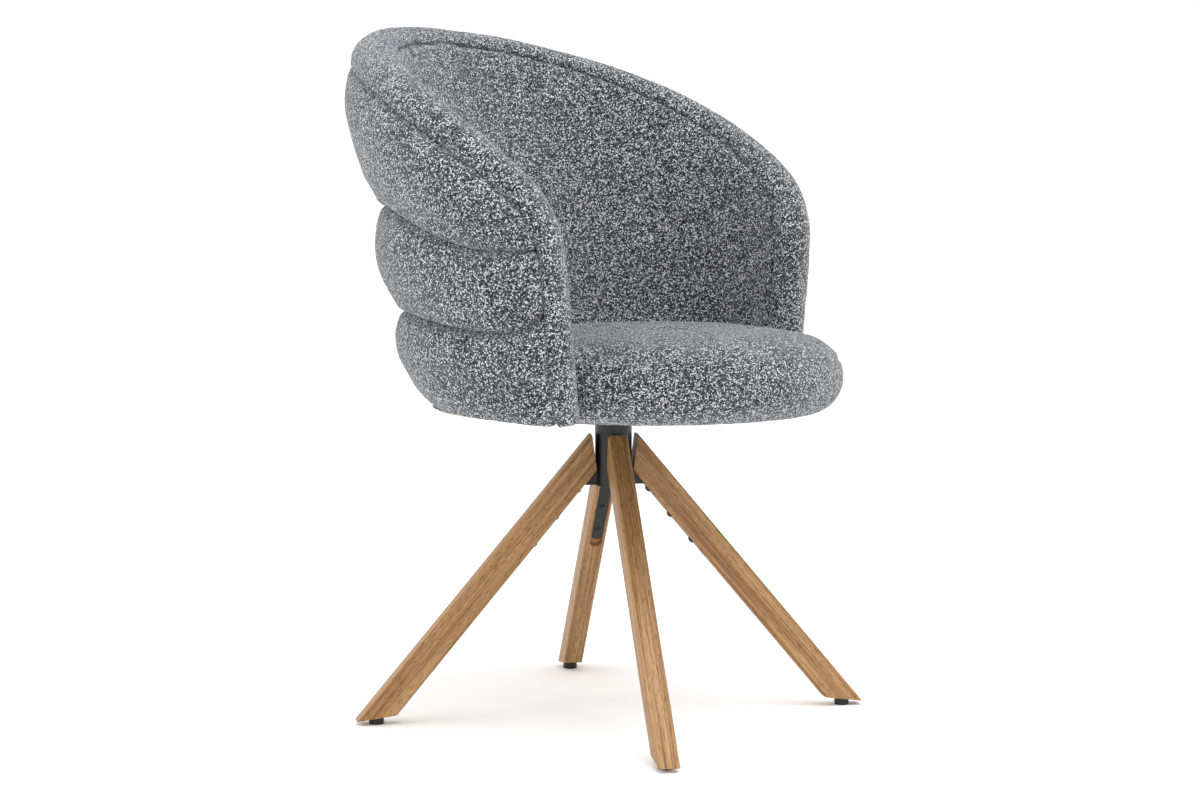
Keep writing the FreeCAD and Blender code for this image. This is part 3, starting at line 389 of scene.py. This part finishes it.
def oiled_oak(oak, label, direction):
    """Oiled oak sawn along the leg: honey brown with long rings and dark open pores."""
    material, tree, output = new_material(f"oiled_oak_{label}")
    across = direction.cross(Vector((0, 0, 1))).normalized()
    turn = Matrix((direction, across, direction.cross(across))).transposed().to_euler()
    place = add_node(tree, "ShaderNodeTexCoord").outputs["Object"]
    ring = oak.ring_width
    pore = oak.pore_width
    streak = STREAK_WIDTH * pore
    ring_place = add_node(tree, "ShaderNodeMapping",
                          {"Rotation": turn, "Scale": (RING_LENGTH * ring, ring, ring)},
                          {"Vector": place}, vector_type="TEXTURE")
    streak_place = add_node(tree, "ShaderNodeMapping",
                            {"Rotation": turn, "Scale": (STREAK_LENGTH * pore, streak, streak)},
                            {"Vector": place}, vector_type="TEXTURE")
    pore_place = add_node(tree, "ShaderNodeMapping",
                          {"Rotation": turn, "Scale": (PORE_LENGTH * pore, pore, pore)},
                          {"Vector": place}, vector_type="TEXTURE")
    rings = add_node(tree, "ShaderNodeTexNoise", {"Scale": 1.0, "Detail": 3.0, "Distortion": 0.6},
                     {"Vector": ring_place.outputs["Vector"]})
    streaks = add_node(tree, "ShaderNodeTexNoise", {"Scale": 1.0, "Detail": 4.0, "Roughness": 0.65},
                       {"Vector": streak_place.outputs["Vector"]})
    pores = add_node(tree, "ShaderNodeTexNoise", {"Scale": 1.0, "Detail": 1.0},
                     {"Vector": pore_place.outputs["Vector"]})
    wood = add_node(tree, "ShaderNodeValToRGB", links={"Fac": rings.outputs["Fac"]}, stops=[
        (0.30, oak.late_wood), (0.62, oak.early_wood)])
    grain = add_node(tree, "ShaderNodeValToRGB", links={"Fac": streaks.outputs["Fac"]}, stops=[
        (0.40, grey(0.60)), (0.56, grey(1.0))])
    grained = add_node(tree, "ShaderNodeMixRGB", {"Fac": 0.8},
                       {"Color1": wood.outputs["Color"], "Color2": grain.outputs["Color"]},
                       blend_type="MULTIPLY")
    open_pores = add_node(tree, "ShaderNodeValToRGB", links={"Fac": pores.outputs["Fac"]}, stops=[
        (0.56, grey(0.0)), (0.66, grey(0.7))])
    colour = add_node(tree, "ShaderNodeMixRGB", {"Color2": oak.pore_colour},
                      {"Fac": open_pores.outputs["Color"], "Color1": grained.outputs["Color"]})
    bump = add_node(tree, "ShaderNodeBump", {"Strength": 0.25, "Distance": 0.2 * MM},
                    {"Height": streaks.outputs["Fac"]})
    shader = add_node(tree, "ShaderNodeBsdfPrincipled",
                      {"Roughness": 0.5, "Specular IOR Level": 0.4},
                      {"Base Color": colour.outputs["Color"], "Normal": bump.outputs["Normal"]})
    tree.links.new(shader.outputs["BSDF"], output.inputs["Surface"])
    return material


def grained_surface(name, colour, roughness, metallic, grain, height):
    """A hard surface whose fine grain breaks up its gloss: painted, turned or moulded."""
    found = bpy.data.materials.get(name)
    if found:
        return found
    material, tree, output = new_material(name)
    place = add_node(tree, "ShaderNodeTexCoord").outputs["Object"]
    fine = add_node(tree, "ShaderNodeTexNoise", {"Scale": 1 / grain, "Detail": 2.0},
                    {"Vector": place})
    broad = add_node(tree, "ShaderNodeTexNoise", {"Scale": GRAIN_PER_BLOTCH / grain, "Detail": 3.0},
                     {"Vector": place})
    tone = add_node(tree, "ShaderNodeValToRGB", links={"Fac": broad.outputs["Fac"]}, stops=[
        (0.35, [BLOTCH_TONE * channel for channel in colour[:3]] + [1.0]), (0.65, colour)])
    gloss = add_node(tree, "ShaderNodeMapRange",
                     {"To Min": roughness - GLOSS_SPREAD, "To Max": roughness + GLOSS_SPREAD},
                     {"Value": broad.outputs["Fac"]})
    bump = add_node(tree, "ShaderNodeBump", {"Strength": 0.35, "Distance": height},
                    {"Height": fine.outputs["Fac"]})
    shader = add_node(tree, "ShaderNodeBsdfPrincipled", {"Metallic": metallic},
                      {"Base Color": tone.outputs["Color"], "Roughness": gloss.outputs["Result"],
                       "Normal": bump.outputs["Normal"]})
    tree.links.new(shader.outputs["BSDF"], output.inputs["Surface"])
    return material


def painted_steel(metal):
    """Steel under matt powder paint: nearly black, with a soft pebbled gloss."""
    return grained_surface("painted_steel", list(metal.black_paint), roughness=0.42, metallic=0.0,
                           grain=0.9 * MM, height=0.05 * MM)


def turned_steel(metal):
    """Bare turned steel: bright, with fine tool marks."""
    return grained_surface("turned_steel", list(metal.bright_steel), roughness=0.3, metallic=1.0,
                           grain=0.4 * MM, height=0.02 * MM)


def moulded_plastic(metal):
    """Moulded polyamide: black, with a faint leathery texture."""
    return grained_surface("moulded_plastic", list(metal.black_plastic), roughness=0.5, metallic=0.0,
                           grain=0.6 * MM, height=0.04 * MM)


def birch_plywood():
    """Bare birch plywood: pale, dry and faintly streaked."""
    return grained_surface("birch_plywood", linear("#C9A877"), roughness=0.7, metallic=0.0,
                           grain=1.5 * MM, height=0.1 * MM)


def spun_cloth():
    """Spun-bonded black cloth: thin, matt and dimpled."""
    return grained_surface("spun_cloth", linear("#141416"), roughness=0.9, metallic=0.0,
                           grain=1.2 * MM, height=0.2 * MM)


def matt_floor(stage):
    """Matt white studio floor, even all over."""
    material, tree, output = new_material("matt_floor")
    shader = add_node(tree, "ShaderNodeBsdfPrincipled",
                      {"Base Color": list(stage.floor_colour), "Roughness": 1.0,
                       "Specular IOR Level": 0.0})
    tree.links.new(shader.outputs["BSDF"], output.inputs["Surface"])
    return material


def finish_nodes(names, material):
    """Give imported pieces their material."""
    for name in names:
        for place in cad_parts[name].material_slots:
            place.link = "OBJECT"
            place.material = material


# Padding

# The back of the tub is a little flatter than a half circle.
TUB_ROUNDNESS = 0.92
TUB_LOW, TUB_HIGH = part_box("shell_frame")
TUB_HALF_WIDTH = (TUB_HIGH.x - TUB_LOW.x) / 2
TUB_CENTRE_Y = TUB_HIGH.y - TUB_ROUNDNESS * TUB_HALF_WIDTH

# Cosines from which a face begins to look sideways or up, and from which it fully does.
SIDEWAYS = (0.1, 0.75)
UPWARD = (-0.6, 0.1)

# The seam of the cushion shows where 1 minus the upright part of the normal lies past these.
BOXING = (0.05, 0.5)

# Where the lowest roll hangs low and where it is drawn up, measured back from its front.
SLANT_FRONT = (0.0, 90 * MM)
SLANT_REAR = (70 * MM, 200 * MM)

# Crease widths over which a cover comes free of its seam, and to the middle of its gathers.
HELD_WIDTHS = 5
GATHER_PLACE = 2

# Negative, so that the cloth is one percent larger than the shape it starts from.
CLOTH_SHRINK = -0.01

# The cloth under the seat: which faces lie below, how it is divided, and its dimples.
UNDERSIDE = -0.9
DUST_CLOTH_CUTS = 5
DIMPLE_HEIGHT = 0.3 * MM
DIMPLE_WIDTH = 12 * MM


def outward(point):
    """Direction out of the tub at a place."""
    return Vector((point.x, point.y - TUB_CENTRE_Y, 0)).normalized()


def eased(value, low, high):
    """0 below low, 1 above high, with a smooth rise between."""
    share = min(max((value - low) / (high - low), 0.0), 1.0)
    return share * share * (3 - 2 * share)


def faces_out(point, normal):
    """How far a place on a roll looks out of the tub, from 0 to 1."""
    return eased(normal.dot(outward(point)), *SIDEWAYS)


def faces_in(point, normal):
    """How far a place on the lining looks into the tub, from 0 to 1."""
    return eased(-normal.dot(outward(point)), *SIDEWAYS)


def faces_up(point, normal):
    """How far a place on the cushion looks up or aside, from 0 to 1."""
    return eased(normal.z, *UPWARD)


def faces_any(point, normal):
    return 1.0


def bake(piece):
    """Turn a piece's modifiers into its mesh."""
    graph = bpy.context.evaluated_depsgraph_get()
    mesh = bpy.data.meshes.new_from_object(piece.evaluated_get(graph))
    piece.modifiers.clear()
    piece.data = mesh


def sharp_edge_tree(shape):
    """Points along the sharp edges of a solid, where its cover is sewn, for nearest searches."""
    points = []
    for edge in shape.edges:
        if edge.is_manifold and edge.calc_face_angle() > SHARP_ANGLE:
            start, end = (vertex.co for vertex in edge.verts)
            steps = max(int(edge.calc_length() / SEAM_STEP), 1)
            points += [start.lerp(end, step / steps) for step in range(steps + 1)]
    tree = kdtree.KDTree(len(points))
    for index, point in enumerate(points):
        tree.insert(point, index)
    tree.balance()
    return tree


def even_copy(name, node, grid):
    """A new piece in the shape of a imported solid, meshed evenly, and the tree of its seams."""
    shape = bmesh.new()
    shape.from_mesh(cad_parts[node].data)
    bmesh.ops.remove_doubles(shape, verts=shape.verts, dist=WELD)
    bmesh.ops.recalc_face_normals(shape, faces=shape.faces)
    seams = sharp_edge_tree(shape)
    mesh = bpy.data.meshes.new(name)
    shape.to_mesh(mesh)
    shape.free()
    piece = bpy.data.objects.new(name, mesh)
    bpy.context.scene.collection.objects.link(piece)
    remesh = piece.modifiers.new("even", "REMESH")
    remesh.mode = "VOXEL"
    remesh.voxel_size = grid
    ease = piece.modifiers.new("ease", "SMOOTH")
    ease.factor = 0.5
    ease.iterations = 1
    bake(piece)
    return piece, seams


def swell(piece, free_at, padding):
    """Let the stuffing push the cover out between the places where it is sewn down."""
    start = [vertex.co.copy() for vertex in piece.data.vertices]
    held = piece.vertex_groups.new(name="held")
    for vertex in piece.data.vertices:
        held.add([vertex.index], 1.0 - free_at(vertex.co, vertex.normal), "REPLACE")
    cloth = piece.modifiers.new("swell", "CLOTH")
    cloth.settings.vertex_group_mass = held.name
    cloth.settings.use_pressure = True
    cloth.settings.uniform_pressure_force = padding.pressure
    cloth.settings.shrink_min = CLOTH_SHRINK
    cloth.settings.effector_weights.gravity = 0.0
    cloth.collision_settings.use_collision = False
    cloth.point_cache.frame_end = padding.swell_frames
    for number in range(1, padding.swell_frames + 1):
        bpy.context.scene.frame_set(number)
    bake(piece)
    piece.vertex_groups.clear()
    for vertex, place in zip(piece.data.vertices, start):
        move = vertex.co - place
        if move.length > padding.swell_limit:
            vertex.co = place + move.normalized() * padding.swell_limit
    bpy.context.scene.frame_set(1)


def relief(piece, offset_at):
    """Move every point along its normal by the offset that a function gives for it."""
    places = [vertex.co + vertex.normal * offset_at(vertex.co, vertex.normal)
              for vertex in piece.data.vertices]
    for vertex, place in zip(piece.data.vertices, places):
        vertex.co = place
    piece.data.update()


def cover(name, node, grid, facing, context, crease=0.0, seam_offset=None, simulate=True):
    """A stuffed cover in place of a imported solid, with lumps, creases, gathers and nubs."""
    padding = context.scene.chair_padding
    piece, seams = even_copy(name, node, grid)
    width = padding.crease_width

    def free_at(point, normal):
        return facing(point, normal) * eased(seams.find(point)[2], width, HELD_WIDTHS * width)

    if simulate:
        swell(piece, free_at, padding)
    finer = piece.modifiers.new("finer", "SUBSURF")
    finer.levels = 1
    finer.render_levels = 1
    bake(piece)

    def offset(point, normal):
        distance = seams.find(point)[2] / width
        outside = facing(point, normal)
        gather = outside * math.exp(-(distance / GATHER_PLACE - 1) ** 2)
        total = padding.fullness - crease * math.exp(-distance ** 2)
        total += padding.lump_height * noise.noise(point / padding.lump_width) * outside
        total += padding.pucker_height * noise.noise(point / padding.pucker_width) * gather
        total += padding.nub_height * noise.noise(point / padding.nub_width)
        if seam_offset:
            total += seam_offset(point, normal)
        return total

    relief(piece, offset)
    for face in piece.data.polygons:
        face.use_smooth = True
    piece.data.materials.clear()
    piece.data.materials.append(melange_boucle(context.scene.chair_fabric))
    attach(piece, "seat")
    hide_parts(node)
    return piece


# Operators

class CHAIR_OT_tub_lining(bpy.types.Operator):
    """Cover the inside of the tub with its smooth lining"""
    bl_idname = "chair.tub_lining"
    bl_label = "Tub Lining"

    def execute(self, context):
        grid = context.scene.chair_padding.lining_grid
        cover("tub_lining", "shell_inner_pad", grid, faces_in, context, simulate=False)
        return {"FINISHED"}


class CHAIR_OT_outer_rolls(bpy.types.Operator):
    """Stuff the three rolls round the outside of the tub"""
    bl_idname = "chair.outer_rolls"
    bl_label = "Outer Rolls"

    def execute(self, context):
        padding = context.scene.chair_padding
        foot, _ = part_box("outer_roll_bottom")

        def slant(point, normal):
            low = 1.0 - eased(point.z, foot.z, foot.z + padding.foot_height)
            back = point.y - foot.y
            before = 1.0 - eased(back, *SLANT_FRONT)
            behind = eased(back, *SLANT_REAR)
            return padding.roll_slant * low * (before - behind)

        for level, shift in (("top", None), ("middle", None), ("bottom", slant)):
            cover(f"stuffed_roll_{level}", f"outer_roll_{level}", padding.grid, faces_out, context,
                  padding.roll_crease, shift)
        return {"FINISHED"}


class CHAIR_OT_edge_band(bpy.types.Operator):
    """Cover the rim and both arm fronts with the padded band"""
    bl_idname = "chair.edge_band"
    bl_label = "Edge Band"

    def execute(self, context):
        padding = context.scene.chair_padding
        piece = cover("rim_band", "edge_band", padding.band_grid, faces_any, context,
                      simulate=False)
        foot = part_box("edge_band")[0].z
        for vertex in piece.data.vertices:
            low = 1.0 - eased(vertex.co.z, foot, foot + padding.foot_height)
            vertex.co -= outward(vertex.co) * padding.foot_tuck * low ** 2
        return {"FINISHED"}


class CHAIR_OT_seat_cushion(bpy.types.Operator):
    """Stuff the crowned seat cushion and draw in its seam"""
    bl_idname = "chair.seat_cushion"
    bl_label = "Seat Cushion"

    def execute(self, context):
        padding = context.scene.chair_padding

        def drawn_seam(point, normal):
            near = (point.z - padding.seam_level) / padding.seam_width
            aside = 1.0 - abs(normal.z)
            return -padding.seam_depth * math.exp(-near * near) * eased(aside, *BOXING)

        cover("stuffed_cushion", "seat_cushion", padding.grid, faces_up, context,
              seam_offset=drawn_seam)
        return {"FINISHED"}


class CHAIR_OT_dust_cloth(bpy.types.Operator):
    """Stretch the thin black cloth under the seat board"""
    bl_idname = "chair.dust_cloth"
    bl_label = "Dust Cloth"

    def execute(self, context):
        low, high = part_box("dust_cover")
        shape = bmesh.new()
        shape.from_mesh(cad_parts["dust_cover"].data)
        bmesh.ops.remove_doubles(shape, verts=shape.verts, dist=WELD)
        shape.normal_update()
        others = [face for face in shape.faces if face.normal.z > UNDERSIDE]
        bmesh.ops.delete(shape, geom=others, context="FACES")
        bmesh.ops.subdivide_edges(shape, edges=shape.edges, cuts=DUST_CLOTH_CUTS, use_grid_fill=True)
        area = sum(face.calc_area() for face in shape.faces)
        for vertex in shape.verts:
            vertex.co.z += DIMPLE_HEIGHT * noise.noise(vertex.co / DIMPLE_WIDTH)
        bmesh.ops.recalc_face_normals(shape, faces=shape.faces)
        mesh = bpy.data.meshes.new("dust_cloth")
        shape.to_mesh(mesh)
        shape.free()
        piece = bpy.data.objects.new("dust_cloth", mesh)
        context.scene.collection.objects.link(piece)
        wall = piece.modifiers.new("thickness", "SOLIDIFY")
        wall.thickness = (high.z - low.z) / 2
        wall.offset = 0.0
        bake(piece)
        piece.data.materials.clear()
        piece.data.materials.append(spun_cloth())
        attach(piece, "seat")
        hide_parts("dust_cover")
        return {"FINISHED"}


class CHAIR_OT_legs(bpy.types.Operator):
    """Give the legs their oak, with the grain along each leg"""
    bl_idname = "chair.legs"
    bl_label = "Oak Legs"

    def execute(self, context):
        oak = context.scene.chair_oak
        for label in LEG_LABELS:
            away = middle(f"glide_{label}") - AXIS
            away.z = 0
            direction = away.normalized() * math.cos(oak.leg_slope)
            direction.z = -math.sin(oak.leg_slope)
            finish_nodes([f"leg_{label}"], oiled_oak(oak, label, direction))
        return {"FINISHED"}


class CHAIR_OT_metalwork(bpy.types.Operator):
    """Finish the hub, the arms, the screws and the plastic parts"""
    bl_idname = "chair.metalwork"
    bl_label = "Metalwork"

    def execute(self, context):
        metal = context.scene.chair_metal
        arms = [f"leg_arm_{label}" for label in LEG_LABELS]
        screws = [f"arm_screws_{label}" for label in LEG_LABELS]
        glides = [f"glide_{label}" for label in LEG_LABELS]
        finish_nodes(["hub_column", "seat_plate"] + arms + screws, painted_steel(metal))
        finish_nodes(["column_end_cap", "lower_bush", "upper_bush"] + glides, moulded_plastic(metal))
        finish_nodes(["spindle", "thrust_washer", "spindle_washer", "retaining_ring", "plate_bolts",
                      "tee_nuts", "shell_fixing_screws"], turned_steel(metal))
        return {"FINISHED"}


class CHAIR_OT_boards(bpy.types.Operator):
    """Finish the plywood inside the upholstery"""
    bl_idname = "chair.boards"
    bl_label = "Boards"

    def execute(self, context):
        finish_nodes(["seat_board", "shell_base_ring", "shell_frame"], birch_plywood())
        return {"FINISHED"}


class CHAIR_OT_stage(bpy.types.Operator):
    """Lay the pale floor, hang the soft lights and set the camera"""
    bl_idname = "chair.stage"
    bl_label = "Stage"

    def execute(self, context):
        stage = context.scene.chair_stage
        self.lay_floor(context, stage)
        self.set_surround(context, stage)
        context.scene.view_settings.view_transform = "Standard"
        for name, azimuth, elevation, power in (
                ("key_light", stage.key_azimuth, stage.key_elevation, stage.key_power),
                ("side_light", stage.side_azimuth, stage.side_elevation, stage.side_power)):
            self.hang_light(context, stage, name, stage.camera_azimuth + azimuth, elevation, power)
        self.set_camera(context, stage)
        return {"FINISHED"}

    def lay_floor(self, context, stage):
        shape = bmesh.new()
        bmesh.ops.create_grid(shape, x_segments=FLOOR_CELLS, y_segments=FLOOR_CELLS,
                              size=FLOOR_REACH)
        mesh = bpy.data.meshes.new("floor")
        shape.to_mesh(mesh)
        shape.free()
        floor = bpy.data.objects.new("floor", mesh)
        context.scene.collection.objects.link(floor)
        mesh.materials.append(matt_floor(stage))

    def set_surround(self, context, stage):
        world = bpy.data.worlds.new("studio")
        world.use_nodes = True
        background = world.node_tree.nodes["Background"]
        background.inputs["Color"].default_value = (1.0, 1.0, 1.0, 1.0)
        background.inputs["Strength"].default_value = stage.surround_strength
        context.scene.world = world

    def hang_light(self, context, stage, name, azimuth, elevation, power):
        """A square soft light that looks at the middle of the chair."""
        light = bpy.data.lights.new(name, "AREA")
        light.size = stage.light_size
        light.energy = power
        back = Vector((math.sin(azimuth) * math.cos(elevation),
                       -math.cos(azimuth) * math.cos(elevation), math.sin(elevation)))
        target = (CAD_BOX[0] + CAD_BOX[1]) / 2
        lamp = bpy.data.objects.new(name, light)
        lamp.location = target + back * stage.light_distance
        lamp.rotation_euler = (-back).to_track_quat("-Z", "Y").to_euler()
        context.scene.collection.objects.link(lamp)

    def set_camera(self, context, stage):
        lens = bpy.data.cameras.new("camera")
        lens.lens = stage.camera_lens
        lens.sensor_width = SENSOR_WIDTH
        camera = bpy.data.objects.new("camera", lens)
        azimuth = stage.camera_azimuth
        toward = Vector((-math.sin(azimuth), math.cos(azimuth), 0))
        across = Vector((math.cos(azimuth), math.sin(azimuth), 0))
        level = across * math.sin(stage.camera_yaw) + toward * math.cos(stage.camera_yaw)
        forward = level * math.cos(stage.camera_pitch)
        forward.z = -math.sin(stage.camera_pitch)
        camera.location = Vector((AXIS.x, AXIS.y, 0)) - toward * stage.camera_distance
        camera.location.z = stage.camera_height
        camera.rotation_euler = forward.to_track_quat("-Z", "Y").to_euler()
        context.scene.collection.objects.link(camera)
        context.scene.camera = camera


OPERATORS = (
    CHAIR_OT_tub_lining,
    CHAIR_OT_outer_rolls,
    CHAIR_OT_edge_band,
    CHAIR_OT_seat_cushion,
    CHAIR_OT_dust_cloth,
    CHAIR_OT_legs,
    CHAIR_OT_metalwork,
    CHAIR_OT_boards,
    CHAIR_OT_stage,
)


class CHAIR_PT_pieces(bpy.types.Panel):
    """The chair's settings and the pieces that are made from them"""
    bl_idname = "CHAIR_PT_pieces"
    bl_label = "Swivel Tub Chair"
    bl_space_type = "VIEW_3D"
    bl_region_type = "UI"
    bl_category = "Chair"

    def draw(self, context):
        for name, group in SETTINGS.items():
            box = self.layout.box()
            for key in group.__annotations__:
                box.prop(getattr(context.scene, name), key)
        for operator in OPERATORS:
            self.layout.operator(operator.bl_idname)


CLASSES = (*SETTINGS.values(), *OPERATORS, CHAIR_PT_pieces)


def register():
    for kind in CLASSES:
        bpy.utils.register_class(kind)
    for name, group in SETTINGS.items():
        setattr(bpy.types.Scene, name, PointerProperty(type=group))


def unregister():
    for name in SETTINGS:
        delattr(bpy.types.Scene, name)
    for kind in reversed(CLASSES):
        bpy.utils.unregister_class(kind)


def main():
    """Make every piece in order."""
    register()
    for operator in OPERATORS:
        group, name = operator.bl_idname.split(".")
        getattr(getattr(bpy.ops, group), name)()


if __name__ == "__main__":
    main()
